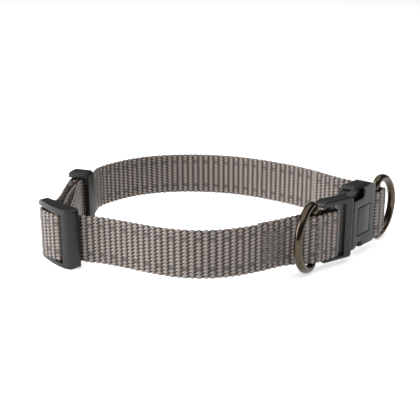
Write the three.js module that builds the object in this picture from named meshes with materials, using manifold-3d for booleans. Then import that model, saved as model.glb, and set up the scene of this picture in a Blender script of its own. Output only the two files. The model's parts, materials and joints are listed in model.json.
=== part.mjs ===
// An adjustable dog collar of woven webbing, buckled and standing on its edge as a closed loop.
// Millimetres, +Z up. The loop lies in plan, with +X to the right and +Y away from the viewer.
import * as THREE from 'three';
import { mergeGeometries, mergeVertices } from 'three/addons/utils/BufferGeometryUtils.js';
import Module from 'manifold-3d';

const wasm = await Module();
wasm.setup();

// Driving dimensions of the webbing
const WEB_WIDTH = 20;
const WEB_THICK = 1.5;
const GAP = 0.3;
const SEWN_OVERLAP = 0.3;
const WEB_BASE = 3.3;
const WEB_RISE = 0.0164;
const LANE = GAP + WEB_THICK / 2;
const BAR_ROUND = 1;

// The plan of the loop
const HALF_WIDTH = 80;
const HALF_DEPTH = 58;

// Wire rings that take the leash and a tag
const WIRE = 3.5;
const RING_HEIGHT = 30;
const RING_DEPTH = 18.6;
const RING_CORNER = 3;
const RING_SIDES = 8;

// Slider: two outer bars and a centre bar between two rails
const SLIDER = { x: -0.78125 * HALF_WIDTH, y: -0.53276 * HALF_DEPTH, turn: -45 };
const SLIDER_LENGTH = 24;
const SLIDER_HEIGHT = 25.6;
const SLIDER_THICK = 3.4;
const SLIDER_BOW = 4.9;
const SLIDER_WINDOW = 5;
const SLIDER_CENTRE = { width: 3, front: -0.6, back: 1.6 };
const SLIDER_LEFT_BAR = { from: -9.6, to: -5.9, front: -1, back: 1.3 };

// Keeper: a deep rectangular ring with a thin bar for the sewn end
const KEEPER = { x: -0.7525 * HALF_WIDTH, y: 0.3017 * HALF_DEPTH, turn: -20 };
const KEEPER_WIDTH = 10.2;
const KEEPER_HEIGHT = 26;
const KEEPER_DEPTH = 5;
const KEEPER_BAR = 2.2;
const KEEPER_THIN_BAR = 1.3;
const KEEPER_INSET = 1.9;
const RAIL_CLEARANCE = 0.6;

// Buckle: the socket half, and the plug half whose prongs enter it
const SOCKET = { x: 0.70985 * HALF_WIDTH, y: -0.45188 * HALF_DEPTH, turn: 49 };
const SOCKET_LENGTH = 19.1;
const SOCKET_BASE = 2.8;
const SOCKET_MOUTH = 29;
const SOCKET_NECK = 26.6;
const SOCKET_ROUND = 2.6;
const SOCKET_THICK = 8;
const SOCKET_NECK_THICK = 6.4;
const SOCKET_WALL = 1.4;
const SOCKET_SLOT = 2.3;
const SOCKET_END_BAR = { from: SOCKET_LENGTH + SOCKET_SLOT, to: SOCKET_LENGTH + SOCKET_SLOT + 2.6, thick: 3 };
const SOCKET_ARM = 1.3;
const PLUG_LENGTH = 17;
const PLUG_OFFSET = { along: -PLUG_LENGTH - 0.44, inward: 1.785, turn: -15 };
const PLUG_BASE = 2;
const PLUG_HEIGHT = 27.2;
const PLUG_THICK = 5.5;
const PLUG_LOW_ARM = 1.7;
const PLUG_HIGH_ARM = 2.6;
const PLUG_MAIN_BAR = 4.6;
const PLUG_END_BAR = { from: 4.5, to: 8.1, thick: 3 };
const PRONG = { width: 4, thick: 3.4, start: -2.6, length: 11.5, hook: 1 };
const PLATE = { from: 3.4, length: 10.8, base: 9.1, height: 13, rim: 0.5, depth: 0.35 };

// Where each ring's straight bar sits in the fold beside the buckle, and where the ring points
const FRONT_RING_BAR = { along: -2.4, inward: 0, turn: 240 };
const REAR_RING_BAR = { along: SOCKET_END_BAR.to + 2.6, inward: 1.2, turn: 50.5 };

const radians = THREE.MathUtils.degToRad;

// Colours and finishes
const webbing = new THREE.MeshStandardMaterial({ color: '#8e8580', roughness: 0.85, metalness: 0 });
const plastic = new THREE.MeshStandardMaterial({ color: '#3c3e3b', roughness: 0.45, metalness: 0 });
const gunmetal = new THREE.MeshStandardMaterial({ color: '#6b645a', roughness: 0.22, metalness: 1 });

// Solids and meshes
function solidOf(geometry) {
  const bare = geometry.index ? geometry.toNonIndexed() : geometry.clone();
  bare.deleteAttribute('normal');
  bare.deleteAttribute('uv');
  const merged = mergeVertices(bare, 1e-4);
  return new wasm.Manifold(new wasm.Mesh({
    numProp: 3,
    vertProperties: new Float32Array(merged.attributes.position.array),
    triVerts: new Uint32Array(merged.index.array),
  }));
}

function geometryOf(solid) {
  const { vertProperties, triVerts } = solid.getMesh();
  const geometry = new THREE.BufferGeometry();
  geometry.setAttribute('position', new THREE.BufferAttribute(new Float32Array(vertProperties), 3));
  geometry.setIndex(new THREE.BufferAttribute(new Uint32Array(triVerts), 1));
  geometry.computeVertexNormals();
  return geometry;
}

function meshOf(name, solid, material, place = null) {
  const mesh = new THREE.Mesh(geometryOf(solid), material);
  mesh.name = name;
  if (place) {
    mesh.position.set(place.x, place.y, 0);
    mesh.rotation.z = radians(place.turn);
  }
  return mesh;
}

const join = (solids) => solids.reduce((whole, solid) => whole.add(solid));

function box(x0, x1, y0, y1, z0, z1) {
  const geometry = new THREE.BoxGeometry(x1 - x0, y1 - y0, z1 - z0);
  return solidOf(geometry.translate((x0 + x1) / 2, (y0 + y1) / 2, (z0 + z1) / 2));
}

// A rounded rectangle in plan terms, first axis by second axis
function roundedShape(u0, u1, v0, v1, radius) {
  const shape = new THREE.Shape();
  shape.moveTo(u0 + radius, v0);
  shape.lineTo(u1 - radius, v0);
  shape.absarc(u1 - radius, v0 + radius, radius, -Math.PI / 2, 0);
  shape.lineTo(u1, v1 - radius);
  shape.absarc(u1 - radius, v1 - radius, radius, 0, Math.PI / 2);
  shape.lineTo(u0 + radius, v1);
  shape.absarc(u0 + radius, v1 - radius, radius, Math.PI / 2, Math.PI);
  shape.lineTo(u0, v0 + radius);
  shape.absarc(u0 + radius, v0 + radius, radius, Math.PI, 1.5 * Math.PI);
  return shape;
}

// An upright bar with rounded edges
const bar = (x0, x1, y0, y1, z0, z1) => planPlate(roundedShape(x0, x1, y0, y1, BAR_ROUND), z0, z1, 3);

// A face outline drawn along x and up z, given thickness from y0 to y1
function facePlate(shape, y0, y1, steps = 4) {
  const geometry = new THREE.ExtrudeGeometry(shape, {
    depth: y1 - y0, bevelEnabled: false, curveSegments: steps,
  });
  return solidOf(geometry.rotateX(Math.PI / 2).translate(0, y1, 0));
}

// A plan outline drawn along x and y, raised from z0 to z1
function planPlate(shape, z0, z1, steps = 4) {
  const geometry = new THREE.ExtrudeGeometry(shape, {
    depth: z1 - z0, bevelEnabled: false, curveSegments: steps,
  });
  return solidOf(geometry.translate(0, 0, z0));
}

// A section drawn along y and up z, run from x0 to x1
function sectionPlate(shape, x0, x1, steps = 4) {
  const geometry = new THREE.ExtrudeGeometry(shape, {
    depth: x1 - x0, bevelEnabled: false, curveSegments: steps,
  });
  return solidOf(geometry.rotateX(Math.PI / 2).rotateZ(Math.PI / 2).translate(x0, 0, 0));
}

// Plan places: a point given along and inward from a piece's own place
function at(place, along, inward) {
  return new THREE.Vector2(along, inward)
    .rotateAround(new THREE.Vector2(), radians(place.turn))
    .add(new THREE.Vector2(place.x, place.y));
}

const plugFoot = at(SOCKET, PLUG_OFFSET.along, PLUG_OFFSET.inward);
const PLUG = { x: plugFoot.x, y: plugFoot.y, turn: SOCKET.turn + PLUG_OFFSET.turn };

const lane = (place, rows) => rows.map(([along, inward]) => at(place, along, inward));
const webBase = (x) => WEB_BASE + WEB_RISE * x;

// The two free runs of the webbing's middle line, as shares of the loop's half width and half depth
const FRONT_RUN = [
  { right: -0.555, away: -0.678 },
  { right: -0.4475, away: -0.7534 },
  { right: -0.3413, away: -0.8362 },
  { right: -0.2413, away: -0.9086 },
  { right: -0.1438, away: -0.9586 },
  { right: -0.0488, away: -0.9784 },
  { right: 0.0475, away: -0.9716 },
  { right: 0.1438, away: -0.9362 },
  { right: 0.2425, away: -0.875 },
  { right: 0.3775, away: -0.7741 },
];
const REAR_RUN = [
  { right: 0.7488, away: 0.1983 },
  { right: 0.63, away: 0.4052 },
  { right: 0.4938, away: 0.6 },
  { right: 0.32, away: 0.7845 },
  { right: 0.195, away: 0.8845 },
  { right: 0.0663, away: 0.9534 },
  { right: -0.0625, away: 0.9914 },
  { right: -0.1938, away: 1.0034 },
  { right: -0.3238, away: 0.981 },
  { right: -0.4513, away: 0.919 },
  { right: -0.57, away: 0.8017 },
  { right: -0.68, away: 0.6155 },
];
const placed = (rows) => rows.map((row) => new THREE.Vector2(row.right * HALF_WIDTH, row.away * HALF_DEPTH));

// Between the slider and the keeper three layers run side by side: shares of the half width at each depth
const LAYERS = [
  { away: 0.21, outer: -0.8135, rear: -0.753 },
  { away: 0.13, outer: -0.8155, rear: -0.75 },
  { away: 0, outer: -0.817, rear: -0.745, returned: -0.773 },
  { away: -0.14, outer: -0.8175, rear: -0.738, returned: -0.777 },
  { away: -0.23, outer: -0.824, rear: -0.735, returned: -0.776 },
  { away: -0.31, outer: -0.842, rear: -0.734, returned: -0.774 },
];
const layer = (name) => LAYERS.filter((row) => name in row)
  .map((row) => new THREE.Vector2(row[name] * HALF_WIDTH, row.away * HALF_DEPTH));

// The side of a route that faces the inside of the loop, a set distance away
function beside(points, distance) {
  return points.map((point, i) => {
    const before = points[Math.max(i - 1, 0)];
    const after = points[Math.min(i + 1, points.length - 1)];
    const heading = after.clone().sub(before).normalize();
    return new THREE.Vector2(point.x - heading.y * distance, point.y + heading.x * distance);
  });
}

// A smooth route through points, kept only where it turns or has run on for a while
function smooth(points) {
  const curve = new THREE.CatmullRomCurve3(
    points.map((p) => new THREE.Vector3(p.x, p.y, 0)), false, 'centripetal',
  );
  const fine = curve.getPoints(points.length * 16).map((p) => new THREE.Vector2(p.x, p.y));
  const kept = [fine[0]];
  let heading = null;
  for (let i = 1; i < fine.length - 1; i += 1) {
    const step = fine[i + 1].clone().sub(fine[i]).angle();
    const run = fine[i].distanceTo(kept[kept.length - 1]);
    const turned = heading === null ? 0 : Math.abs(Math.atan2(Math.sin(step - heading), Math.cos(step - heading)));
    if (run > 5 || (turned > radians(9) && run > 0.3)) {
      kept.push(fine[i]);
      heading = step;
    } else if (heading === null) {
      heading = step;
    }
  }
  kept.push(fine[fine.length - 1]);
  return kept;
}

// Webbing standing on its edge along a route, cut in stretches where the route passes itself
function ribbon(route, cuts) {
  const left = beside(route, WEB_THICK / 2);
  const right = beside(route, -WEB_THICK / 2);
  const nearest = (point) => route.reduce(
    (best, p, i) => (p.distanceTo(point) < route[best].distanceTo(point) ? i : best), 0,
  );
  const ends = [0, ...cuts.map(nearest), route.length - 1];
  const stretches = ends.slice(1).map((end, i) => {
    const side = left.slice(ends[i], end + 1);
    const back = right.slice(ends[i], end + 1).reverse();
    return planPlate(new THREE.Shape([...side, ...back]), 0, WEB_WIDTH);
  });
  return join(stretches);
}

// The whole strap rises a little from the slider to the rings, which stand lower
function raised(solid) {
  const geometry = geometryOf(solid);
  const position = geometry.attributes.position;
  for (let i = 0; i < position.count; i += 1) {
    position.setZ(i, position.getZ(i) + webBase(position.getX(i)));
  }
  return solidOf(geometry);
}

// Lanes of the webbing through the slider's windows
const centreHalf = SLIDER_CENTRE.width / 2;
const windowEnd = centreHalf + SLIDER_WINDOW;
const innerLane = centreHalf + LANE + 0.15;
const outerLane = windowEnd - LANE - 0.5;
const innerTop = LANE - SLIDER_CENTRE.front + 0.15;
const outerTop = innerTop + WEB_THICK + GAP;
const underBar = SLIDER_THICK / 2 + LANE;
const leftWrap = SLIDER_LEFT_BAR.from - LANE - 0.3;

const keeperLeft = -KEEPER_WIDTH / 2 + KEEPER_INSET;
const keeperOpening = keeperLeft + KEEPER_THIN_BAR;
const keeperBack = KEEPER_DEPTH / 2;

function frontRoute() {
  const outside = keeperLeft - LANE - 0.15;
  const inside = keeperOpening + LANE + 0.05;
  const wrap = lane(KEEPER, [
    [inside, -2], [inside, keeperBack - 0.4],
    [(outside + inside) / 2 + 0.9, keeperBack + LANE], [(outside + inside) / 2, keeperBack + LANE + 0.2],
    [(outside + inside) / 2 - 0.9, keeperBack + LANE],
    [outside, keeperBack - 0.4], [outside, -1],
  ]);
  const outer = layer('outer');
  const sewn = beside(outer.slice(0, 2), WEB_THICK - SEWN_OVERLAP).reverse();
  const slider = lane(SLIDER, [
    [leftWrap + 0.1, 2], [leftWrap, 0], [leftWrap + 0.8, -1.7], [SLIDER_LEFT_BAR.from + 1.3, -2.85],
    [SLIDER_LEFT_BAR.to - 0.1, -3.35], [-3, -outerTop + 0.05], [0, -outerTop], [3, -outerTop + 0.35],
    [outerLane - 0.3, -outerTop + 2.3], [outerLane, 0.5], [outerLane + 0.65, underBar - 0.15],
    [7, underBar + 0.2], [9, underBar + 0.2], [12.5, underBar + 0.8],
  ]);
  const run = placed(FRONT_RUN);
  const ringClear = WIRE / 2 + LANE + 0.3;
  const barClear = PLUG_END_BAR.thick / 2 + LANE + 0.1;
  const fold = PLUG_END_BAR.to + LANE + 0.15;
  const buckle = lane(PLUG, [
    [FRONT_RING_BAR.along - 2.2, -ringClear + 0.7], [FRONT_RING_BAR.along, -ringClear],
    [1.9, -barClear], [PLUG_END_BAR.from, -barClear], [PLUG_END_BAR.to - 0.4, -barClear],
    [fold - 0.25, -barClear * 0.55], [fold, 0], [fold - 0.25, barClear * 0.55],
    [PLUG_END_BAR.to - 0.4, barClear], [PLUG_END_BAR.from, barClear],
    [1.9, barClear], [FRONT_RING_BAR.along, ringClear],
  ]);
  const tailRun = [run[run.length - 1], run[run.length - 2]];
  const tail = beside([...tailRun].reverse(), WEB_THICK - SEWN_OVERLAP).reverse();
  return {
    points: [...sewn, ...wrap, ...outer, ...slider, ...run, ...buckle, ...tail],
    cuts: [wrap[3], buckle[6]],
  };
}

function rearRoute() {
  const ringClear = WIRE / 2 + LANE + 0.3;
  const barClear = SOCKET_END_BAR.thick / 2 + LANE + 0.1;
  const fold = SOCKET_END_BAR.from - LANE - 0.15;
  const run = placed(REAR_RUN);
  const { along, inward } = REAR_RING_BAR;
  const ring = at(SOCKET, along, inward);
  const leaving = run[0].clone().sub(ring).normalize();
  const outward = new THREE.Vector2(leaving.y, -leaving.x);
  const corner = [0, 5].map((distance) => ring.clone()
    .addScaledVector(leaving, distance).addScaledVector(outward, ringClear));
  const buckle = lane(SOCKET, [
    [along - 0.6, inward + ringClear + 0.1], [SOCKET_END_BAR.to - 0.4, barClear],
    [SOCKET_END_BAR.from + 0.4, barClear], [fold + 0.25, barClear * 0.55], [fold, 0],
    [fold + 0.25, -barClear * 0.55], [SOCKET_END_BAR.from + 0.4, -barClear],
    [SOCKET_END_BAR.to, -barClear], [along, inward - ringClear],
    [along + 2.6, inward - ringClear + 0.5],
  ]);
  const sewnRun = [corner[1], run[0], run[1]];
  const sewn = beside(sewnRun, WEB_THICK - SEWN_OVERLAP).reverse();
  const through = keeperOpening + LANE + WEB_THICK + GAP + 0.15;
  const keeper = lane(KEEPER, [[through + 0.5, 7], [through, 0]]);
  const rear = layer('rear');
  const slider = lane(SLIDER, [
    [innerLane - 0.3, underBar + 0.3], [innerLane, 0.9], [innerLane - 0.5, -innerTop + 0.9],
    [0, -innerTop], [-innerLane + 0.5, -innerTop + 0.9], [-innerLane, 0.9], [-innerLane - 0.1, underBar + 0.6],
  ]);
  const tail = beside(rear.slice(0, 2), SEWN_OVERLAP - WEB_THICK).reverse();
  return {
    points: [
      ...sewn, ...buckle, ...corner, ...run, ...keeper, ...rear, ...slider, ...layer('returned').reverse(), tail[0],
    ],
    cuts: [buckle[4], slider[3]],
  };
}

function strap(name, { points, cuts }) {
  return meshOf(name, raised(ribbon(smooth(points), cuts)), webbing);
}

function tube(points, radius) {
  const section = new THREE.Shape();
  section.absarc(0, 0, radius, 0, 2 * Math.PI);
  const path = new THREE.CatmullRomCurve3(points);
  const steps = Math.max(points.length - 1, 1);
  return solidOf(new THREE.ExtrudeGeometry(section, {
    steps, curveSegments: RING_SIDES, bevelEnabled: false, extrudePath: path,
  }));
}

// A wire ring: a straight bar closed by a round bow, standing in its own x and z
function ringSolid() {
  const half = (RING_HEIGHT - WIRE) / 2;
  const reach = RING_DEPTH - WIRE;
  const corner = RING_CORNER;
  const bow = new THREE.Path();
  bow.moveTo(0, half - corner - 1);
  bow.lineTo(0, half - corner);
  bow.absarc(corner, half - corner, corner, Math.PI, Math.PI / 2, true);
  bow.absellipse(corner, 0, reach - corner, half, Math.PI / 2, -Math.PI / 2, true);
  bow.absarc(corner, -half + corner, corner, -Math.PI / 2, -Math.PI, true);
  bow.lineTo(0, -half + corner + 1);
  const outline = bow.getSpacedPoints(44).map((p) => new THREE.Vector3(p.x, 0, p.y));
  const barEnd = half - corner - 0.5;
  const straight = tube([new THREE.Vector3(0, 0, -barEnd), new THREE.Vector3(0, 0, barEnd)], WIRE / 2 + 0.02);
  return join([tube(outline, WIRE / 2), straight]);
}

function ring(name, buckleHalf, bar) {
  const centre = at(buckleHalf, bar.along, bar.inward);
  const mesh = meshOf(name, ringSolid(), gunmetal, { x: centre.x, y: centre.y, turn: bar.turn });
  mesh.position.z = RING_HEIGHT / 2;
  return mesh;
}

// Slider: rails bowed in plan, with two windows cut through its face
function slider() {
  const half = SLIDER_LENGTH / 2;
  const inner = SLIDER_THICK / 2;
  const plan = new THREE.Shape();
  plan.moveTo(-half, inner - 1);
  plan.lineTo(-half + 1, inner);
  plan.lineTo(half - 0.6, inner);
  plan.lineTo(half, inner - 0.6);
  plan.lineTo(half, -0.2);
  plan.quadraticCurveTo(half - 0.4, -inner - 1.6, 7.5, -inner - 2.15);
  plan.quadraticCurveTo(1.5, -SLIDER_BOW, -half, -inner + 0.1);
  const face = roundedShape(-half, half, 0, SLIDER_HEIGHT, 2.2);
  const lowRail = webBase(at(SLIDER, -half, 0).x) - GAP;
  const highRail = webBase(SLIDER.x) + WEB_WIDTH + RAIL_CLEARANCE;
  const leg = 0.9;
  const edge = new THREE.Shape();
  edge.moveTo(windowEnd + leg, inner + 0.1);
  edge.lineTo(windowEnd - 0.1, inner - leg);
  edge.lineTo(windowEnd - 0.1, inner + 0.1);
  const body = planPlate(plan, 0, SLIDER_HEIGHT, 10)
    .intersect(facePlate(face, -half, half))
    .subtract(box(-half - 1, windowEnd, -half, half, lowRail, highRail))
    .subtract(planPlate(edge, lowRail, highRail));
  const { front: fore, back: aft } = SLIDER_CENTRE;
  const centre = bar(-centreHalf, centreHalf, fore, aft, lowRail - 0.5, highRail + 0.5);
  const { from, to, front, back } = SLIDER_LEFT_BAR;
  const left = bar(from, to, front, back, lowRail - 0.5, highRail + 0.5);
  return meshOf('slider', join([body, centre, left]), plastic, SLIDER);
}

// Keeper: a deep ring whose thin bar is set in for the webbing that is sewn round it
function keeper() {
  const half = KEEPER_WIDTH / 2;
  const deep = KEEPER_DEPTH / 2;
  const lowRail = webBase(KEEPER.x) - GAP - 0.1;
  const highRail = webBase(KEEPER.x) + WEB_WIDTH + RAIL_CLEARANCE;
  const frame = facePlate(roundedShape(-half, half, 0, KEEPER_HEIGHT, 1.6), -deep, deep);
  const opening = box(-half - 1, half - KEEPER_BAR, -deep - 1, deep + 1, lowRail, highRail);
  const shape = roundedShape(keeperLeft, keeperOpening, -deep + 0.3, deep - 0.1, KEEPER_THIN_BAR / 2 - 0.01);
  const thin = planPlate(shape, lowRail - 0.5, highRail + 0.5);
  return meshOf('keeper_loop', frame.subtract(opening).add(thin), plastic, KEEPER);
}

// Plug half: a frame with an end bar under the webbing, and two prongs that enter the socket
function plug() {
  const deep = PLUG_THICK / 2;
  const top = PLUG_BASE + PLUG_HEIGHT;
  const inside = PLUG_LENGTH - PLUG_MAIN_BAR;
  const low = PLUG_BASE + PLUG_LOW_ARM;
  const high = top - PLUG_HIGH_ARM;
  const plan = roundedShape(0, PLUG_LENGTH, -deep, deep, 1.2);
  const face = roundedShape(0, PLUG_LENGTH, PLUG_BASE, top, 3.2);
  const section = roundedShape(-deep, deep, PLUG_BASE, top, 1.2);
  const frame = planPlate(plan, PLUG_BASE, top).intersect(facePlate(face, -deep, deep, 6))
    .intersect(sectionPlate(section, 0, PLUG_LENGTH))
    .subtract(box(-1, inside, -deep - 1, deep + 1, low, high));
  const barThick = PLUG_END_BAR.thick / 2;
  const endBar = bar(PLUG_END_BAR.from, PLUG_END_BAR.to, -barThick, barThick, low - 0.5, high + 0.5);
  return meshOf('buckle_plug', join([frame, endBar, ...prongs()]), plastic, PLUG);
}

// Prongs are laid out in the socket's own place and carried into the plug's
function prongs() {
  const middle = SOCKET_BASE + SOCKET_MOUTH / 2;
  const reach = SOCKET_MOUTH / 2 - SOCKET_WALL - GAP - 0.2;
  const thick = PRONG.thick / 2;
  const shift = at(SOCKET, 0, 0).sub(at(PLUG, 0, 0)).rotateAround(new THREE.Vector2(), -radians(PLUG.turn));
  return [1, -1].map((side) => {
    const shape = new THREE.Shape();
    const outer = reach - PRONG.hook;
    shape.moveTo(PRONG.start, outer - PRONG.width);
    shape.lineTo(PRONG.length, outer - PRONG.width);
    shape.quadraticCurveTo(PRONG.length + 1.2, outer - PRONG.width / 2, PRONG.length - 0.6, outer);
    shape.lineTo(PRONG.length * 0.55, reach);
    shape.lineTo(PRONG.length * 0.32, reach);
    shape.lineTo(PRONG.length * 0.3, outer);
    shape.lineTo(PRONG.length * 0.22, outer);
    shape.lineTo(PRONG.length * 0.2, reach);
    shape.lineTo(PRONG.start, reach);
    const arm = new THREE.ExtrudeGeometry(shape, {
      depth: PRONG.thick, bevelEnabled: false, curveSegments: 4,
    });
    arm.rotateX(Math.PI / 2).translate(0, thick, 0);
    if (side < 0) {
      arm.scale(1, -1, -1);
    }
    arm.rotateZ(radians(SOCKET.turn - PLUG.turn)).translate(shift.x, shift.y, middle);
    return solidOf(arm);
  });
}

// Socket half: a hollow body tapered to its neck, with a window over each prong and a bare set-in plate
function socket() {
  const neckTop = SOCKET_BASE + SOCKET_NECK;
  const outline = new THREE.Shape();
  const mouthTop = SOCKET_BASE + SOCKET_MOUTH;
  outline.moveTo(0, SOCKET_BASE + 1);
  outline.lineTo(1, SOCKET_BASE);
  outline.lineTo(SOCKET_LENGTH - 3, SOCKET_BASE);
  outline.quadraticCurveTo(SOCKET_LENGTH, SOCKET_BASE, SOCKET_LENGTH, SOCKET_BASE + 3);
  outline.lineTo(SOCKET_LENGTH, neckTop - 3);
  outline.quadraticCurveTo(SOCKET_LENGTH, neckTop, SOCKET_LENGTH - 3, neckTop + 0.7);
  outline.quadraticCurveTo(13, mouthTop - 0.2, 9, mouthTop);
  outline.lineTo(3, mouthTop);
  outline.quadraticCurveTo(0, mouthTop, 0, mouthTop - 3.4);
  const deep = SOCKET_THICK / 2;
  const neckDeep = SOCKET_NECK_THICK / 2;
  const plan = new THREE.Shape();
  plan.moveTo(0, -deep + 0.5);
  plan.lineTo(0.6, -deep);
  plan.lineTo(10, -deep + 0.2);
  plan.lineTo(SOCKET_LENGTH - 0.9, -neckDeep);
  plan.lineTo(SOCKET_LENGTH, -neckDeep + 0.9);
  plan.lineTo(SOCKET_LENGTH, neckDeep - 0.9);
  plan.lineTo(SOCKET_LENGTH - 0.9, neckDeep);
  plan.lineTo(10, deep - 0.2);
  plan.lineTo(0.6, deep);
  plan.lineTo(0, deep - 0.5);
  const body = facePlate(outline, -deep, deep, 6)
    .intersect(planPlate(plan, SOCKET_BASE, mouthTop))
    .intersect(sectionPlate(roundedShape(-deep, deep, SOCKET_BASE, mouthTop, SOCKET_ROUND), 0, SOCKET_LENGTH));
  const hollow = PRONG.thick / 2 + GAP + 0.1;
  const low = SOCKET_BASE + SOCKET_WALL;
  const high = mouthTop - SOCKET_WALL;
  const cavity = box(-1, PRONG.length + 2.2, -hollow, hollow, low, high);
  const windows = [
    facePlate(roundedShape(4.4, 9.6, low, low + 5.2, 2.4), 0, deep + 1, 6),
    facePlate(roundedShape(4.4, 9.6, high - 5.2, high, 2.4), 0, deep + 1, 6),
    facePlate(roundedShape(3.4, 8.8, low - 3, low + 2.2, 2.2), -deep - 1, 0, 6),
    facePlate(roundedShape(-2, 8.4, high - 5, high, 2.2), -deep - 1, 0, 6),
  ];
  const barThick = SOCKET_END_BAR.thick / 2;
  const armTop = webBase(at(SOCKET, SOCKET_END_BAR.to, 0).x) + WEB_WIDTH + GAP;
  const arms = [SOCKET_BASE, armTop].map((z) => (
    box(SOCKET_LENGTH - 3, SOCKET_END_BAR.to, -barThick, barThick, z, z + SOCKET_ARM)
  ));
  const barBase = SOCKET_BASE + SOCKET_ARM / 2;
  const barTop = armTop + SOCKET_ARM / 2;
  const endBar = bar(SOCKET_END_BAR.from, SOCKET_END_BAR.to, -barThick, barThick, barBase, barTop);
  let whole = join([body.subtract(cavity), ...arms, endBar]);
  [...windows, plateGroove(deep)].forEach((cut) => {
    whole = whole.subtract(cut);
  });
  return meshOf('buckle_socket', whole, plastic, SOCKET);
}

// The groove round the bare plate on the socket's outer face
function plateGroove(deep) {
  const { from, length, base, height, rim, depth } = PLATE;
  const floor = -deep + depth + 0.5;
  const outer = box(from, from + length, -deep - 1, floor, base, base + height);
  const inner = box(
    from + rim, from + length - rim, -deep - 2, floor + 1, base + rim, base + height - rim,
  );
  return outer.subtract(inner);
}

// The collar, moved so that its origin is the middle of the floor under it
const collar = new THREE.Group();
collar.add(strap('front_strap', frontRoute()));
collar.add(strap('rear_strap', rearRoute()));
collar.add(slider(), keeper(), plug(), socket());
collar.add(ring('front_d_ring', PLUG, FRONT_RING_BAR));
collar.add(ring('rear_d_ring', SOCKET, REAR_RING_BAR));
collar.updateMatrixWorld(true);
const bounds = new THREE.Box3().setFromObject(collar, true);
const middle = bounds.getCenter(new THREE.Vector3());
collar.position.set(-middle.x, -middle.y, -bounds.min.z);

export default collar;
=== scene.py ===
import json
import math

import bmesh
import bpy
import numpy as np
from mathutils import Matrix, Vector


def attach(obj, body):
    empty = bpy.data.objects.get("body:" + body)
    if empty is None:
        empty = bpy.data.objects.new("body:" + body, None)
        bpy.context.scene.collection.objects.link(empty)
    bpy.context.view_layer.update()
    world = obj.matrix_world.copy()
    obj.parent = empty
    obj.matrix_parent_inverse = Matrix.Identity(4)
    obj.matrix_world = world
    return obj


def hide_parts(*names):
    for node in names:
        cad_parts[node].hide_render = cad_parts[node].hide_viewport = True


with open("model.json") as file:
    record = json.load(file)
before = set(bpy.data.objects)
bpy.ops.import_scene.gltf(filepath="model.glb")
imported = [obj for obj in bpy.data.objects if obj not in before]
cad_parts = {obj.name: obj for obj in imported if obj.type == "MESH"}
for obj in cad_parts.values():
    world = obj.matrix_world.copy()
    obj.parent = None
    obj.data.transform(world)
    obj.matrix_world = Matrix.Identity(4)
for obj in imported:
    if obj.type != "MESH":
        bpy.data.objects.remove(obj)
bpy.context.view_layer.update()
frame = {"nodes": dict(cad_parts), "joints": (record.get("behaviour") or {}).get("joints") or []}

MM = 0.001

# Webbing, in millimetres: its lower edge stands at a base height and rises a little to the right
WEB_WIDTH = 20.0
WEB_THICK = 1.5
GAP = 0.3
LANE = GAP + WEB_THICK / 2
SEWN_STEP = 1.2
WEB_BASE = 3.3
WEB_RISE = 0.0164

# Plan of the loop: half sizes, then the places of the hardware
HALF_WIDTH = 80.0
HALF_DEPTH = 58.0
SLIDER = {"x": -0.78125 * HALF_WIDTH, "y": -0.53276 * HALF_DEPTH, "turn": -45.0}
KEEPER = {"x": -0.7525 * HALF_WIDTH, "y": 0.3017 * HALF_DEPTH, "turn": -20.0}
SOCKET = {"x": 0.70985 * HALF_WIDTH, "y": -0.45188 * HALF_DEPTH, "turn": 49.0}
PLUG_OFFSET = {"along": -17.44, "inward": 1.785, "turn": -15.0}

# What the webbing passes round
SLIDER_CENTRE = {"half": 1.5, "front": -0.6}
SLIDER_WINDOW_END = 6.5
SLIDER_THICK = 3.4
SLIDER_LEFT_BAR = {"from": -9.6, "to": -5.9}
KEEPER_THIN_BAR = {"left": -3.2, "right": -1.9, "back": 2.5}
PLUG_END_BAR = {"from": 4.5, "to": 8.1, "thick": 3.0}
SOCKET_END_BAR = {"from": 21.4, "to": 24.0, "thick": 3.0}

# Wire rings
WIRE = 3.5
RING_HEIGHT = 30.0
RING_REACH = 15.1
RING_CORNER = 3.0
FRONT_RING = {"along": -2.4, "inward": 0.0, "turn": 240.0}
REAR_RING = {"along": SOCKET_END_BAR["to"] + 2.6, "inward": 1.2, "turn": 50.5}

# The weave: ribs across the webbing, each a spine with slanting floats on its left and right by turns
RIB_PITCH = 2.7
FLOAT_PITCH = 1.48
FLOAT_LEAN = 1.1
FLOAT = {"middle": -0.17, "half": 0.34, "row_half": 0.42}
RIGHT_FLOAT = {"middle": 0.18, "half": 0.31, "level": 0.8}
SPINE = {"middle": 0.02, "half": 0.24, "level": 0.75}
RIB_RELIEF = 0.34
TRACER_ROWS = (4.0, 16.4)
TRACER_HALF = 0.85
RELIEF_POWER = 0.6
TRACER_SINK = 0.7
EDGE_ROUND = {"power": 24, "least": 0.12}
EDGE_SCALLOP = {"depth": 0.2, "power": 9}
STATION_STEP = RIB_PITCH / 6
FACE_STEPS = 54
ROUTE_SPLITS = 40

# Sewing thread: each stitch runs a little past its column and sinks into the weave
THREAD_WIDTH = 0.75
TACK_ROW = 1.05
STITCH_OVERRUN = 1.12
STITCH_SINK = 0.12

# Edges of the moulded pieces: their rounding in millimetres, the distance under which corners
# are merged, and in degrees the turn that still counts as flat, the turn from which an edge is
# rounded and the one from which it is drawn sharp
SLIDER_EDGE = 0.45
BUCKLE_EDGE = 0.35
EDGE_ARC_STEPS = 3
MERGE_DISTANCE = 0.002
FLAT_ANGLE = 1.5
ROUNDED_ANGLE = 28
SHARP_ANGLE = 32

# How finely the rings' line and their wire are divided
CORNER_STEPS = 12
BOW_STEPS = 72
BAR_STEPS = 24
WIRE_SIDES = 28

# Patterns of the webbing in counts to a millimetre along and across it, which the fibres' scale
# multiplies, and how much lighter and darker each makes it
FIBRE = {"along": 1.6, "across": 5.0, "scale": 1.6, "relief": 0.35, "contrast": 0.5}
DRIFT = {"along": 0.06, "across": 0.1, "contrast": 0.3}
TRACER_TINT = 0.7

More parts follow.
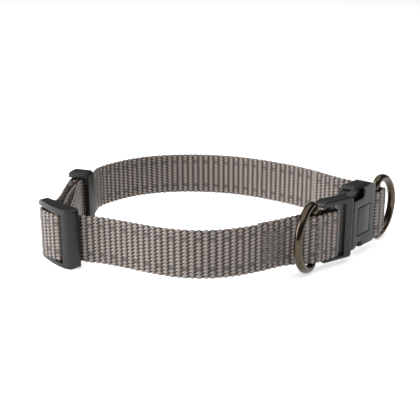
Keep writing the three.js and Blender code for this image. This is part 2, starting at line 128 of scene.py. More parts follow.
# Patterns of the other finishes, in counts to a metre: 0.38 mm of twist in the thread, 0.31 mm
# of mould grit, which is drawn that coarse to show, 7 mm of drift in the plastic, and marks
# 2.4 mm apart on the plating
THREAD_TWIST = 2600.0
MOULD_GRIT = 3200.0
MOULD_DRIFT = 140.0
PLATING_MARKS = 420.0

# The photograph's camera, in the plan's millimetres
CAMERA_BACK = 364.0
CAMERA_HEIGHT = 134.3
CAMERA_PITCH = 18.5
CAMERA_FOCAL_PIXELS = 850.0
IMAGE_PIXELS = 420.0
SENSOR_WIDTH = 36.0

# The white studio, in metres and watts
FLOOR_HALF = 6.0
FLOOR_GLOW = 0.55
WORLD_GLOW = 0.15
KEY_LIGHT = {"place": (-1.0, -0.12, 0.45), "size": 0.8, "power": 13.0}
TOP_LIGHT = {"place": (0.0, 0.0, 1.0), "size": 1.6, "power": 12.0}
LIT_POINT = (0, 0, 0.015)


# Colour, node and mesh helpers
def linear(code):
    """A linear RGBA colour from an sRGB hex code."""
    parts = [int(code[i:i + 2], 16) / 255 for i in (1, 3, 5)]
    return [c / 12.92 if c <= 0.04045 else ((c + 0.055) / 1.055) ** 2.4 for c in parts] + [1.0]


def add(tree, kind, links=None, settings=None, **values):
    """A node with its attributes, socket values by name or number, and links into it."""
    node = tree.nodes.new(kind)
    for name, value in (settings or {}).items():
        setattr(node, name, value)
    for name, value in values.items():
        node.inputs[name.replace("_", " ")].default_value = value
    for socket, source in (links or {}).items():
        if isinstance(source, (int, float, tuple, list)):
            node.inputs[socket].default_value = source
        else:
            tree.links.new(source, node.inputs[socket])
    return node


def new_material(name):
    material = bpy.data.materials.new(name)
    material.use_nodes = True
    tree = material.node_tree
    tree.nodes.clear()
    out = tree.nodes.new("ShaderNodeOutputMaterial")
    shader = tree.nodes.new("ShaderNodeBsdfPrincipled")
    tree.links.new(shader.outputs["BSDF"], out.inputs["Surface"])
    return material, tree, shader


def new_object(name, verts, faces, smooth=True):
    mesh = bpy.data.meshes.new(name)
    mesh.from_pydata([tuple(v) for v in verts], [], faces)
    mesh.validate()
    mesh.polygons.foreach_set("use_smooth", [smooth] * len(mesh.polygons))
    obj = bpy.data.objects.new(name, mesh)
    bpy.context.scene.collection.objects.link(obj)
    return obj


# Places in the plan
def at(place, along, inward):
    """A plan point given along and inward from a piece's own place."""
    turn = math.radians(place["turn"])
    return np.array([
        place["x"] + along * math.cos(turn) - inward * math.sin(turn),
        place["y"] + along * math.sin(turn) + inward * math.cos(turn),
    ])


def lane(place, rows):
    return [at(place, along, inward) for along, inward in rows]


def plug_place():
    """The plug's place, carried from the socket's, so that the two halves keep their fit."""
    foot = at(SOCKET, PLUG_OFFSET["along"], PLUG_OFFSET["inward"])
    return {"x": foot[0], "y": foot[1], "turn": SOCKET["turn"] + PLUG_OFFSET["turn"]}


PLUG = plug_place()


def frame_shift():
    """What takes a plan point to the frame: the front ring's bar is known in both."""
    joint = next(j for j in frame["joints"] if j["name"] == "front_ring_swing")
    bar = at(PLUG, FRONT_RING["along"], FRONT_RING["inward"])
    return np.array(joint["pos_m"][:2]) / MM - bar


SHIFT = frame_shift()


def web_base(x):
    """The height of the webbing's lower edge at a plan place."""
    return WEB_BASE + WEB_RISE * x


def to_frame(x, y, z):
    return np.stack([(x + SHIFT[0]) * MM, (y + SHIFT[1]) * MM, z * MM], axis=-1)


# The two free runs of the webbing's middle line, as shares of the loop's half width and depth
FRONT_RUN = [
    {"right": -0.555, "away": -0.678},
    {"right": -0.4475, "away": -0.7534},
    {"right": -0.3413, "away": -0.8362},
    {"right": -0.2413, "away": -0.9086},
    {"right": -0.1438, "away": -0.9586},
    {"right": -0.0488, "away": -0.9784},
    {"right": 0.0475, "away": -0.9716},
    {"right": 0.1438, "away": -0.9362},
    {"right": 0.2425, "away": -0.875},
    {"right": 0.3775, "away": -0.7741},
]
REAR_RUN = [
    {"right": 0.7488, "away": 0.1983},
    {"right": 0.63, "away": 0.4052},
    {"right": 0.4938, "away": 0.6},
    {"right": 0.32, "away": 0.7845},
    {"right": 0.195, "away": 0.8845},
    {"right": 0.0663, "away": 0.9534},
    {"right": -0.0625, "away": 0.9914},
    {"right": -0.1938, "away": 1.0034},
    {"right": -0.3238, "away": 0.981},
    {"right": -0.4513, "away": 0.919},
    {"right": -0.57, "away": 0.8017},
    {"right": -0.68, "away": 0.6155},
]

# Between the slider and the keeper three layers run side by side, each a share of the half
# width at every depth
LAYERS = [
    {"away": 0.21, "outer": -0.8135, "rear": -0.753},
    {"away": 0.13, "outer": -0.8155, "rear": -0.75},
    {"away": 0.0, "outer": -0.817, "rear": -0.745, "returned": -0.773},
    {"away": -0.14, "outer": -0.8175, "rear": -0.738, "returned": -0.777},
    {"away": -0.23, "outer": -0.824, "rear": -0.735, "returned": -0.776},
    {"away": -0.31, "outer": -0.842, "rear": -0.734, "returned": -0.774},
]


def placed(rows):
    return [np.array([row["right"] * HALF_WIDTH, row["away"] * HALF_DEPTH]) for row in rows]


def layer(name):
    return [
        np.array([row[name] * HALF_WIDTH, row["away"] * HALF_DEPTH])
        for row in LAYERS if name in row
    ]


def beside(points, distance):
    """A line at a distance from a route, on its side that faces the inside of the loop."""
    moved = []
    for i, point in enumerate(points):
        heading = points[min(i + 1, len(points) - 1)] - points[max(i - 1, 0)]
        heading = heading / np.linalg.norm(heading)
        moved.append(point + distance * np.array([-heading[1], heading[0]]))
    return moved


def smooth_route(points, step):
    """A centripetal Catmull-Rom curve through the points, resampled at an even step."""
    fine = []
    count = len(points)
    for i in range(count - 1):
        p1, p2 = points[i], points[i + 1]
        p0 = points[i - 1] if i else 2 * p1 - p2
        p3 = points[i + 2] if i + 2 < count else 2 * p2 - p1
        d1 = math.sqrt(np.linalg.norm(p2 - p1))
        d0 = math.sqrt(np.linalg.norm(p1 - p0)) or d1
        d2 = math.sqrt(np.linalg.norm(p3 - p2)) or d1
        t1 = ((p1 - p0) / d0 - (p2 - p0) / (d0 + d1) + (p2 - p1) / d1) * d1
        t2 = ((p2 - p1) / d1 - (p3 - p1) / (d1 + d2) + (p3 - p2) / d2) * d1
        for t in np.linspace(0, 1, ROUTE_SPLITS, endpoint=False):
            fine.append(
                p1 + t1 * t + (3 * (p2 - p1) - 2 * t1 - t2) * t ** 2
                + (2 * (p1 - p2) + t1 + t2) * t ** 3
            )
    fine.append(points[-1])
    fine = np.array(fine)
    run = np.concatenate([[0], np.cumsum(np.linalg.norm(np.diff(fine, axis=0), axis=1))])
    stations = np.arange(0, run[-1], step)
    line = np.stack([np.interp(stations, run, fine[:, k]) for k in (0, 1)], axis=1)
    return stations, line


# Routes of the two straps round the hardware, whose points are along and inward from its place
UNDER_SLIDER = SLIDER_THICK / 2 + LANE
OVER_CENTRE = LANE - SLIDER_CENTRE["front"] + 0.15
OVER_BOTH = OVER_CENTRE + WEB_THICK + GAP
RING_CLEAR = WIRE / 2 + LANE + 0.3


def front_points():
    """From the end sewn round the keeper's thin bar, through the slider and along the front, to
    the end sewn back round the plug's end bar."""
    outside = KEEPER_THIN_BAR["left"] - LANE - 0.15
    inside = KEEPER_THIN_BAR["right"] + LANE + 0.05
    back = KEEPER_THIN_BAR["back"]
    top = (outside + inside) / 2
    wrap = lane(KEEPER, [
        [inside, -2], [inside, back - 0.4],
        [top + 0.9, back + LANE], [top, back + LANE + 0.2], [top - 0.9, back + LANE],
        [outside, back - 0.4], [outside, -1],
    ])
    outer = layer("outer")
    sewn = beside(outer[:2], SEWN_STEP)[::-1]
    left = SLIDER_LEFT_BAR["from"] - LANE - 0.3
    window = SLIDER_WINDOW_END - LANE - 0.5
    slider = lane(SLIDER, [
        [left + 0.1, 2], [left, 0], [left + 0.8, -1.7],
        [SLIDER_LEFT_BAR["from"] + 1.3, -2.85], [SLIDER_LEFT_BAR["to"] - 0.1, -3.35],
        [-3, -OVER_BOTH + 0.05], [0, -OVER_BOTH], [3, -OVER_BOTH + 0.35],
        [window - 0.3, -OVER_BOTH + 2.3], [window, 0.5], [window + 0.65, UNDER_SLIDER - 0.15],
        [7, UNDER_SLIDER + 0.2], [9, UNDER_SLIDER + 0.2], [12.5, UNDER_SLIDER + 0.8],
    ])
    run = placed(FRONT_RUN)
    clear = PLUG_END_BAR["thick"] / 2 + LANE + 0.1
    start, end = PLUG_END_BAR["from"], PLUG_END_BAR["to"]
    fold = end + LANE + 0.15
    ring = FRONT_RING["along"]
    buckle = lane(PLUG, [
        [ring - 2.2, -RING_CLEAR + 0.7], [ring, -RING_CLEAR],
        [1.9, -clear], [start, -clear], [end - 0.4, -clear],
        [fold - 0.25, -clear * 0.55], [fold, 0], [fold - 0.25, clear * 0.55],
        [end - 0.4, clear], [start, clear], [1.9, clear], [ring, RING_CLEAR],
    ])
    tail = beside(run[-2:], SEWN_STEP)[::-1]
    return sewn + wrap + outer + slider + run + buckle + tail


def rear_points():
    """From the end sewn behind the rear ring, round the socket's end bar, along the back and
    through the keeper, to the end sewn back round the slider's centre bar."""
    clear = SOCKET_END_BAR["thick"] / 2 + LANE + 0.1
    start, end = SOCKET_END_BAR["from"], SOCKET_END_BAR["to"]
    fold = start - LANE - 0.15
    along, aside = REAR_RING["along"], REAR_RING["inward"]
    run = placed(REAR_RUN)
    ring = at(SOCKET, along, aside)
    leaving = (run[0] - ring) / np.linalg.norm(run[0] - ring)
    outward = np.array([leaving[1], -leaving[0]])
    corner = [ring + leaving * distance + outward * RING_CLEAR for distance in (0, 5)]
    buckle = lane(SOCKET, [
        [along - 0.6, aside + RING_CLEAR + 0.1], [end - 0.4, clear], [start + 0.4, clear],
        [fold + 0.25, clear * 0.55], [fold, 0], [fold + 0.25, -clear * 0.55],
        [start + 0.4, -clear], [end, -clear],
        [along, aside - RING_CLEAR], [along + 2.6, aside - RING_CLEAR + 0.5],
    ])
    sewn = beside([corner[1], run[0], run[1]], SEWN_STEP)[::-1]
    through = KEEPER_THIN_BAR["right"] + LANE + WEB_THICK + GAP + 0.15
    keeper = lane(KEEPER, [[through + 0.5, 7], [through, 0]])
    rear = layer("rear")
    window = SLIDER_CENTRE["half"] + LANE + 0.15
    slider = lane(SLIDER, [
        [window - 0.3, UNDER_SLIDER + 0.3], [window, 0.9],
        [window - 0.5, -OVER_CENTRE + 0.9], [0, -OVER_CENTRE], [-window + 0.5, -OVER_CENTRE + 0.9],
        [-window, 0.9], [-window - 0.1, UNDER_SLIDER + 0.6],
    ])
    tail = beside(rear[:2], -SEWN_STEP)[::-1]
    return sewn + buckle + corner + run + keeper + rear + slider + layer("returned")[::-1] + tail[:1]


# The weave's relief, from 0 in the gaps to 1 on the floats' crowns
def crown(distance, half):
    return np.clip(1 - (distance / half) ** 2, 0, 1)


def weave_height(u, v):
    number = np.floor(u / RIB_PITCH)
    in_rib = u / RIB_PITCH - number - 0.5
    odd = np.mod(number, 2)
    row = v / FLOAT_PITCH + 0.5 * odd - FLOAT_LEAN * in_rib
    in_row = row - np.floor(row) - 0.5
    tooth = crown(in_rib - FLOAT["middle"], FLOAT["half"]) * crown(in_row, FLOAT["row_half"])
    between = crown(np.abs(in_row) - 0.5, FLOAT["row_half"])
    opposite = crown(in_rib - RIGHT_FLOAT["middle"], RIGHT_FLOAT["half"]) * between
    spine = SPINE["level"] * crown(in_rib - SPINE["middle"], SPINE["half"])
    height = np.maximum(np.maximum(tooth, RIGHT_FLOAT["level"] * opposite), spine) ** RELIEF_POWER
    for tracer in TRACER_ROWS:
        height = height * (1 - TRACER_SINK * odd * np.exp(-((v - tracer) / TRACER_HALF) ** 2))
    return height


def strap(name, node, points):
    """Webbing on its edge along its route, with the relief of its weave on both faces and edges."""
    stations, line = smooth_route(points, STATION_STEP)
    heading = np.gradient(line, axis=0)
    heading /= np.linalg.norm(heading, axis=1)[:, None]
    inward = np.stack([-heading[:, 1], heading[:, 0]], axis=1)
    v = np.linspace(0, WEB_WIDTH, FACE_STEPS + 1)
    to_edge = np.abs(v / WEB_WIDTH - 0.5) * 2
    rounded = np.sqrt(np.clip(1 - to_edge ** EDGE_ROUND["power"], EDGE_ROUND["least"], 1))
    half = WEB_THICK / 2 - RIB_RELIEF
    u_grid, v_grid = np.meshgrid(stations, v, indexing="ij")
    scallop = EDGE_SCALLOP["depth"] * np.cos(2 * math.pi * (u_grid / RIB_PITCH - 0.5))
    from_middle = (v_grid - WEB_WIDTH / 2) / (WEB_WIDTH / 2)
    lift = v_grid + scallop * from_middle ** EDGE_SCALLOP["power"]
    sides = []
    for side in (-1, 1):
        relief = weave_height(u_grid + (side > 0) * RIB_PITCH, v_grid)
        depth = side * (half + RIB_RELIEF * relief) * rounded
        x = line[:, 0, None] + inward[:, 0, None] * depth
        y = line[:, 1, None] + inward[:, 1, None] * depth
        sides.append(to_frame(x, y, lift + web_base(x)))
    outer, inner = sides
    loop = np.concatenate([outer, inner[:, ::-1]], axis=1)
    count, around = loop.shape[:2]
    i, j = np.meshgrid(np.arange(count - 1), np.arange(around), indexing="ij")
    here, onward, beyond = i * around, (i + 1) * around, (j + 1) % around
    quads = np.stack([here + j, onward + j, onward + beyond, here + beyond], axis=-1)
    faces = [tuple(q) for q in quads.reshape(-1, 4).tolist()]
    for start, flip in ((0, False), ((count - 1) * around, True)):
        for k in range(FACE_STEPS):
            cap = (start + k, start + k + 1, start + around - 2 - k, start + around - 1 - k)
            faces.append(cap[::-1] if flip else cap)
    obj = new_object(name, loop.reshape(-1, 3), faces)
    write_web_uv(obj.data, stations, v, around)
    obj.data.materials.append(WEBBING)
    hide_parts(node)
    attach(obj, "collar")
    return {"line": line, "heading": heading, "inward": inward}


def write_web_uv(mesh, stations, v, around):
    """UV in millimetres: along the webbing and across it, the same on both faces."""
    width = len(v)
    uv = mesh.uv_layers.new(name="weave")
    index = np.zeros(len(mesh.loops), np.int32)
    mesh.loops.foreach_get("vertex_index", index)
    station, place = index // around, index % around
    across = np.where(place < width, place, 2 * width - 1 - place)
    along = stations[station] + (place >= width) * RIB_PITCH
    uv.data.foreach_set("uv", np.stack([along, v[across]], axis=1).astype(np.float32).ravel())


# Sewing
def stitch_tree():
    """Stitches on points that carry their heading and outward direction: one rounded thread at each."""
    tree = bpy.data.node_groups.new("sewn_stitches", "GeometryNodeTree")
    sockets = [
        ("Points", "INPUT", "NodeSocketGeometry"), ("Stitch length", "INPUT", "NodeSocketFloat"),
        ("Thread width", "INPUT", "NodeSocketFloat"), ("Stitches", "OUTPUT", "NodeSocketGeometry"),
    ]
    for name, side, kind in sockets:
        tree.interface.new_socket(name, in_out=side, socket_type=kind)
    entry = add(tree, "NodeGroupInput")
    out = add(tree, "NodeGroupOutput")
    thread = add(tree, "GeometryNodeMeshUVSphere", Segments=10, Rings=6, Radius=0.5)
    size = add(tree, "ShaderNodeCombineXYZ", {
        0: entry.outputs["Stitch length"],
        1: entry.outputs["Thread width"],
        2: entry.outputs["Thread width"],
    })
    vector = {"data_type": "FLOAT_VECTOR"}
    heading = add(tree, "GeometryNodeInputNamedAttribute", settings=vector, Name="heading")
    outward = add(tree, "GeometryNodeInputNamedAttribute", settings=vector, Name="outward")
    lengthwise = add(tree, "FunctionNodeAlignRotationToVector",
                     {"Vector": heading.outputs[0]}, {"axis": "X"})
    turned = add(tree, "FunctionNodeAlignRotationToVector",
                 {"Rotation": lengthwise.outputs[0], "Vector": outward.outputs[0]},
                 {"axis": "Z", "pivot_axis": "X"})
    laid = add(tree, "GeometryNodeInstanceOnPoints", {
        "Points": entry.outputs["Points"], "Instance": thread.outputs["Mesh"],
        "Rotation": turned.outputs[0], "Scale": size.outputs[0],
    })
    real = add(tree, "GeometryNodeRealizeInstances", {"Geometry": laid.outputs[0]})
    smooth = add(tree, "GeometryNodeSetShadeSmooth", {"Geometry": real.outputs[0]})
    coated = add(tree, "GeometryNodeSetMaterial", {"Geometry": smooth.outputs[0]})
    coated.inputs["Material"].default_value = THREAD
    tree.links.new(coated.outputs[0], out.inputs[0])
    return tree


def tack(name, node, run, near, along, across, columns, slant, side):
    """A sewn tack: columns of stitches stacked across the webbing, on one side of it. Their
    reach along the webbing is counted from the point of its run nearest to a plan point."""
    first = int(np.argmin(np.linalg.norm(run["line"] - np.array(near), axis=1)))
    start, end = along
    width = (end - start) / columns
    rows = np.arange(across[0], across[1], TACK_ROW)
    points, headings, outwards = [], [], []
    for column in range(columns):
        station = first + int(round((start + (column + 0.5) * width) / STATION_STEP))
        line, ahead, inward = (run[key][station] for key in ("line", "heading", "inward"))
        face = line + inward * side * (WEB_THICK / 2 - STITCH_SINK)
        for number, row in enumerate(rows):
            climb = slant * (1 if number % 2 else -1)
            height = web_base(face[0]) + row + 0.5 * TACK_ROW * (column % 2)
            points.append(to_frame(face[0], face[1], height))
            headings.append((ahead[0], ahead[1], climb))
            outwards.append((inward[0] * side, inward[1] * side, 0.0))
    obj = new_object(name, points, [])
    for key, values in (("heading", headings), ("outward", outwards)):
        layer_data = obj.data.attributes.new(key, "FLOAT_VECTOR", "POINT")
        layer_data.data.foreach_set("vector", np.array(values, np.float32).ravel())
    sewing = obj.modifiers.new("sewing", "NODES")
    sewing.node_group = STITCHES
    for item in STITCHES.interface.items_tree:
        if item.name == "Stitch length":
            sewing[item.identifier] = width * STITCH_OVERRUN * MM
        if item.name == "Thread width":
            sewing[item.identifier] = THREAD_WIDTH * MM
    apply_modifiers(obj)
    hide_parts(node)
    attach(obj, "collar")


# Materials
def weave_nodes(tree):
    """The same relief as the mesh's, worked out from the UV map for fine bump and for the colour, which
    paints shade into the gaps and light onto the floats' crowns.
    """
    def calc(operation, *terms):
        return add(tree, "ShaderNodeMath", dict(enumerate(terms)), {"operation": operation}).outputs[0]

    uv = add(tree, "ShaderNodeUVMap", settings={"uv_map": "weave"})
    parts = add(tree, "ShaderNodeSeparateXYZ", {0: uv.outputs[0]})
    along, across = parts.outputs[0], parts.outputs[1]
    ribs = calc("DIVIDE", along, RIB_PITCH)
    number = calc("FLOOR", ribs)
    in_rib = calc("SUBTRACT", calc("SUBTRACT", ribs, number), 0.5)
    odd = calc("FLOORED_MODULO", number, 2.0)
    row = calc("ADD", calc("DIVIDE", across, FLOAT_PITCH), calc("MULTIPLY", odd, 0.5))
    row = calc("SUBTRACT", row, calc("MULTIPLY", in_rib, FLOAT_LEAN))
    in_row = calc("SUBTRACT", calc("FRACT", row), 0.5)

    def crowned(distance, half):
        share = calc("POWER", calc("DIVIDE", distance, half), 2.0)
        return calc("MAXIMUM", calc("SUBTRACT", 1.0, share), 0.0)

    tooth = crowned(calc("SUBTRACT", in_rib, FLOAT["middle"]), FLOAT["half"])
    tooth = calc("MULTIPLY", tooth, crowned(in_row, FLOAT["row_half"]))
    opposite = crowned(calc("SUBTRACT", in_rib, RIGHT_FLOAT["middle"]), RIGHT_FLOAT["half"])
    between = calc("SUBTRACT", calc("ABSOLUTE", in_row), 0.5)
    opposite = calc("MULTIPLY", opposite, crowned(between, FLOAT["row_half"]))
    tooth = calc("MAXIMUM", tooth, calc("MULTIPLY", opposite, RIGHT_FLOAT["level"]))
    spine = crowned(calc("SUBTRACT", in_rib, SPINE["middle"]), SPINE["half"])
    raised = calc("MAXIMUM", tooth, calc("MULTIPLY", spine, SPINE["level"]))
    height = calc("POWER", raised, RELIEF_POWER)
    tracer = None
    for middle in TRACER_ROWS:
        near = calc("POWER", calc("DIVIDE", calc("SUBTRACT", across, middle), TRACER_HALF), 2.0)
        band = calc("MULTIPLY", calc("EXPONENT", calc("MULTIPLY", near, -1.0)), odd)
        tracer = band if tracer is None else calc("ADD", tracer, band)
    return height, tracer, along, across, calc


def webbing_material():
    """Polyester webbing: ribs of filament floats that alternate, with painted light on the floats'
    crowns and painted shade in the notches between them.
    """
    material, tree, shader = new_material("woven_polyester_webbing")
    height, tracer, along, across, calc = weave_nodes(tree)
    thread = add(tree, "ShaderNodeCombineXYZ", {
        0: calc("MULTIPLY", along, FIBRE["along"]), 1: calc("MULTIPLY", across, FIBRE["across"]),
    })
    fibres = add(tree, "ShaderNodeTexNoise", {"Vector": thread.outputs[0]},
                 Scale=FIBRE["scale"], Detail=3.0, Roughness=0.6)
    cloud = add(tree, "ShaderNodeCombineXYZ", {
        0: calc("MULTIPLY", along, DRIFT["along"]), 1: calc("MULTIPLY", across, DRIFT["across"]),
    })
    drift = add(tree, "ShaderNodeTexNoise", {"Vector": cloud.outputs[0]},
                Scale=1.0, Detail=2.0, Roughness=0.5)
    # Colour by the weave's height: painted shade darkens the gaps between the floats, and painted light
    # brightens their crowns
    shade_by_height = add(tree, "ShaderNodeValToRGB", {0: height})
    stops = shade_by_height.color_ramp.elements
    stops[0].position, stops[0].color = 0.0, linear("#1f1a17")
    stops[1].position, stops[1].color = 1.0, linear("#b1a69e")
    middle = stops.new(0.72)
    middle.color = linear("#6f655f")
    gap_shade = stops.new(0.35)
    gap_shade.color = linear("#372f2b")
    dark = calc("MULTIPLY", calc("MINIMUM", tracer, 1.0), TRACER_TINT)
    toned = add(tree, "ShaderNodeMix",
                {"Factor": dark, 6: shade_by_height.outputs[0], 7: linear("#34312d")}, {"data_type": "RGBA"})
    light = calc("MULTIPLY_ADD", fibres.outputs[0], FIBRE["contrast"], 1 - FIBRE["contrast"] / 2)
    patchy = calc("MULTIPLY_ADD", drift.outputs[0], DRIFT["contrast"], 1 - DRIFT["contrast"] / 2)
    light = calc("MULTIPLY", light, patchy)
    shaded = add(tree, "ShaderNodeMix", {"Factor": 1.0, 6: toned.outputs[2], 7: light},
                 {"data_type": "RGBA", "blend_type": "MULTIPLY"})
    tree.links.new(shaded.outputs[2], shader.inputs["Base Color"])
    level = calc("MULTIPLY_ADD", fibres.outputs[0], FIBRE["relief"], height)
    bump = add(tree, "ShaderNodeBump", {"Height": level}, Strength=0.8, Distance=0.00018)
    tree.links.new(bump.outputs[0], shader.inputs["Normal"])
    shader.inputs["Roughness"].default_value = 0.62
    shader.inputs["Sheen Weight"].default_value = 0.15
    shader.inputs["Sheen Roughness"].default_value = 0.4
    return material


def thread_material():
    """Bonded polyester sewing thread in the webbing's grey, smoother than the weave and lustrous."""
    material, tree, shader = new_material("bonded_polyester_thread")
    place = add(tree, "ShaderNodeTexCoord")
    twist = add(tree, "ShaderNodeTexNoise", {"Vector": place.outputs["Object"]},
                Scale=THREAD_TWIST, Detail=2.0)
    tone = add(tree, "ShaderNodeValToRGB", {0: twist.outputs[0]})
    stops = tone.color_ramp.elements
    stops[0].position, stops[0].color = 0.3, linear("#5f5852")
    stops[1].position, stops[1].color = 0.75, linear("#8d847c")
    tree.links.new(tone.outputs[0], shader.inputs["Base Color"])
    shader.inputs["Roughness"].default_value = 0.5
    return material


def plastic_material():
    """Moulded acetal: charcoal, satin, with the fine even texture of a sparked mould."""
    material, tree, shader = new_material("moulded_charcoal_acetal")
    place = add(tree, "ShaderNodeTexCoord")
    grain = add(tree, "ShaderNodeTexNoise", {"Vector": place.outputs["Object"]},
                Scale=MOULD_GRIT, Detail=3.0)
    cloud = add(tree, "ShaderNodeTexNoise", {"Vector": place.outputs["Object"]},
                Scale=MOULD_DRIFT, Detail=3.0)
    tone = add(tree, "ShaderNodeValToRGB", {0: cloud.outputs[0]})
    stops = tone.color_ramp.elements
    stops[0].position, stops[0].color = 0.3, linear("#0d0f0e")
    stops[1].position, stops[1].color = 0.75, linear("#171a18")
    tree.links.new(tone.outputs[0], shader.inputs["Base Color"])
    rough = add(tree, "ShaderNodeMapRange", {0: cloud.outputs[0], 3: 0.34, 4: 0.46})
    tree.links.new(rough.outputs[0], shader.inputs["Roughness"])
    bump = add(tree, "ShaderNodeBump", {"Height": grain.outputs[0]}, Strength=0.22, Distance=0.00006)
    tree.links.new(bump.outputs[0], shader.inputs["Normal"])
    shader.inputs["IOR"].default_value = 1.48
    shader.inputs["Specular IOR Level"].default_value = 0.42
    return material


def ring_material():
    """Steel wire with a polished gunmetal plating, brown-grey, with the faintest rub marks."""
    material, tree, shader = new_material("gunmetal_plated_steel")
    place = add(tree, "ShaderNodeTexCoord")
    marks = add(tree, "ShaderNodeTexNoise", {"Vector": place.outputs["Object"]},
                Scale=PLATING_MARKS, Detail=5.0)
    tone = add(tree, "ShaderNodeValToRGB", {0: marks.outputs[0]})
    stops = tone.color_ramp.elements
    stops[0].color, stops[1].color = linear("#3f382f"), linear("#5a5044")
    tree.links.new(tone.outputs[0], shader.inputs["Base Color"])
    rough = add(tree, "ShaderNodeMapRange", {0: marks.outputs[0], 3: 0.1, 4: 0.2})
    tree.links.new(rough.outputs[0], shader.inputs["Roughness"])
    shader.inputs["Metallic"].default_value = 1.0
    return material


def floor_material():
    """Matte white paper with a little glow of its own, which leaves only a faint shadow on it."""
    material, _, shader = new_material("white_paper_floor")
    shader.inputs["Base Color"].default_value = linear("#fbfbfb")
    shader.inputs["Roughness"].default_value = 0.9
    shader.inputs["Specular IOR Level"].default_value = 0.1
    shader.inputs["Emission Color"].default_value = linear("#ffffff")
    shader.inputs["Emission Strength"].default_value = FLOOR_GLOW
    return material


# Hard pieces
def moulded(name, node, rounding):
    """A moulded part: the frame's own shape with its edges rounded off."""
    source = frame["nodes"][node]
    mesh = source.data.copy()
    obj = bpy.data.objects.new(name, mesh)
    bpy.context.scene.collection.objects.link(obj)
    work = bmesh.new()
    work.from_mesh(mesh)
    bmesh.ops.remove_doubles(work, verts=work.verts, dist=MERGE_DISTANCE * MM)
    bmesh.ops.dissolve_limit(
        work, angle_limit=math.radians(FLAT_ANGLE), verts=work.verts, edges=work.edges,
        use_dissolve_boundaries=False,
    )
    work.to_mesh(mesh)
    work.free()
    mesh.materials.clear()
    mesh.materials.append(PLASTIC)
    bevel = obj.modifiers.new("rounded", "BEVEL")
    bevel.width = rounding * MM
    bevel.segments = EDGE_ARC_STEPS
    bevel.limit_method = "ANGLE"
    bevel.angle_limit = math.radians(ROUNDED_ANGLE)
    apply_modifiers(obj)
    smooth_by_angle(obj.data, SHARP_ANGLE)
    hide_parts(node)
    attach(obj, "collar")


def apply_modifiers(obj):
    """Turns what an object's modifiers make into its own plain mesh."""
    graph = bpy.context.evaluated_depsgraph_get()
    made = bpy.data.meshes.new_from_object(obj.evaluated_get(graph))
    obj.modifiers.clear()
    obj.data = made


def smooth_by_angle(mesh, degrees):
    mesh.polygons.foreach_set("use_smooth", [True] * len(mesh.polygons))
    mesh.set_sharp_from_angle(angle=math.radians(degrees))


def ring_outline():
    """The ring's wire line in its own plane: a straight bar, two corners and a round bow."""
    half = (RING_HEIGHT - WIRE) / 2
    corner = RING_CORNER
    turn = np.linspace(math.pi, math.pi / 2, CORNER_STEPS)
    top = np.stack([corner + corner * np.cos(turn), half - corner + corner * np.sin(turn)], axis=1)
    sweep = np.linspace(math.pi / 2, -math.pi / 2, BOW_STEPS)[1:]
    bow = np.stack([corner + (RING_REACH - corner) * np.cos(sweep), half * np.sin(sweep)], axis=1)
    foot = (top * [1, -1])[::-1][1:]
    heights = np.linspace(-half + corner, half - corner, BAR_STEPS)[1:-1]
    bar = np.stack([np.zeros(len(heights)), heights], axis=1)
    return np.concatenate([top, bow, foot, bar])


def wire_ring(name, node, body, place, turn):
    """A wire ring swept round its closed line, which stands on its bar at a plan place."""
    outline = ring_outline()
    count = len(outline)
    ahead = np.roll(outline, -1, axis=0) - np.roll(outline, 1, axis=0)
    ahead /= np.linalg.norm(ahead, axis=1)[:, None]
    outward = np.stack([ahead[:, 1], -ahead[:, 0]], axis=1)
    angles = np.linspace(0, 2 * math.pi, WIRE_SIDES, endpoint=False)
    radius = WIRE / 2
    rim = radius * np.cos(angles)
    r = outline[:, 0, None] + outward[:, 0, None] * rim
    z = outline[:, 1, None] + outward[:, 1, None] * rim + RING_HEIGHT / 2
    off = np.broadcast_to(radius * np.sin(angles), r.shape)
    a = math.radians(turn)
    x = place[0] + r * math.cos(a) - off * math.sin(a)
    y = place[1] + r * math.sin(a) + off * math.cos(a)
    verts = to_frame(x, y, z).reshape(-1, 3)
    faces = []
    for i in range(count):
        here, onward = i * WIRE_SIDES, (i + 1) % count * WIRE_SIDES
        for j in range(WIRE_SIDES):
            beyond = (j + 1) % WIRE_SIDES
            faces.append((here + j, onward + j, onward + beyond, here + beyond))
    obj = new_object(name, verts, faces)
    outward_faces(obj.data)
    obj.data.materials.append(GUNMETAL)
    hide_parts(node)
    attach(obj, body)


def outward_faces(mesh):
    work = bmesh.new()
    work.from_mesh(mesh)
    bmesh.ops.recalc_face_normals(work, faces=work.faces)
    work.to_mesh(mesh)
    work.free()


# Stage
def stage():
    half = FLOOR_HALF
    corners = [(-half, -half, 0), (half, -half, 0), (half, half, 0), (-half, half, 0)]
    floor = new_object("floor", corners, [(0, 1, 2, 3)], smooth=False)
    floor.data.materials.append(floor_material())
    world = bpy.data.worlds.new("studio")
    world.use_nodes = True
    back = world.node_tree.nodes["Background"]
    back.inputs["Color"].default_value = (1.0, 1.0, 1.0, 1.0)
    back.inputs["Strength"].default_value = WORLD_GLOW
    bpy.context.scene.world = world
    bpy.context.scene.view_settings.view_transform = "Standard"
    soft_light("key", KEY_LIGHT)
    soft_light("top", TOP_LIGHT)


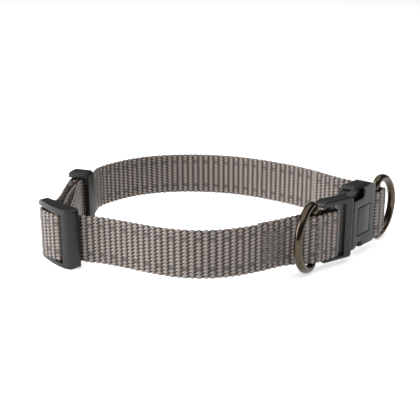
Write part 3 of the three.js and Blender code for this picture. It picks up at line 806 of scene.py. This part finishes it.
def soft_light(name, lamp):
    """A square softbox that faces the middle of the collar."""
    data = bpy.data.lights.new(name, "AREA")
    data.size = lamp["size"]
    data.energy = lamp["power"]
    light = bpy.data.objects.new(name, data)
    light.location = lamp["place"]
    aim = Vector(LIT_POINT) - Vector(lamp["place"])
    light.rotation_euler = aim.to_track_quat("-Z", "Y").to_euler()
    bpy.context.scene.collection.objects.link(light)


def camera():
    data = bpy.data.cameras.new("camera")
    data.sensor_width = SENSOR_WIDTH
    data.lens = CAMERA_FOCAL_PIXELS / IMAGE_PIXELS * data.sensor_width
    data.clip_start = 0.01
    data.clip_end = 20.0
    obj = bpy.data.objects.new("camera", data)
    obj.location = to_frame(0, -CAMERA_BACK, CAMERA_HEIGHT)
    obj.rotation_euler = (math.radians(90 - CAMERA_PITCH), 0, 0)
    bpy.context.scene.collection.objects.link(obj)
    bpy.context.scene.camera = obj


# The scene
camera()
stage()
WEBBING = webbing_material()
THREAD = thread_material()
PLASTIC = plastic_material()
GUNMETAL = ring_material()
STITCHES = stitch_tree()

front = strap("front_webbing", "front_strap", front_points())
rear = strap("rear_webbing", "rear_strap", rear_points())
tack("tail_tack", "front_strap", front, near=placed(FRONT_RUN)[-2], along=(0.5, 11.5),
     across=(3.2, 16.8), columns=5, slant=0.12, side=-1)
tack("plug_tack", "front_strap", front, near=at(PLUG, -4.5, -3), along=(0.0, 2.4),
     across=(2.5, 17.5), columns=1, slant=0.25, side=-1)
tack("keeper_tack", "rear_strap", rear, near=at(KEEPER, 1.6, 7), along=(-16.0, 1.0),
     across=(4.6, 16.4), columns=3, slant=0.0, side=1)

moulded("slider_body", "slider", SLIDER_EDGE)
moulded("keeper_body", "keeper_loop", SLIDER_EDGE)
moulded("plug_body", "buckle_plug", BUCKLE_EDGE)
moulded("socket_body", "buckle_socket", BUCKLE_EDGE)

front_bar = at(PLUG, FRONT_RING["along"], FRONT_RING["inward"])
rear_bar = at(SOCKET, REAR_RING["along"], REAR_RING["inward"])
wire_ring("front_ring_wire", "front_d_ring", "front_ring", front_bar, FRONT_RING["turn"])
wire_ring("rear_ring_wire", "rear_d_ring", "rear_ring", rear_bar, REAR_RING["turn"])
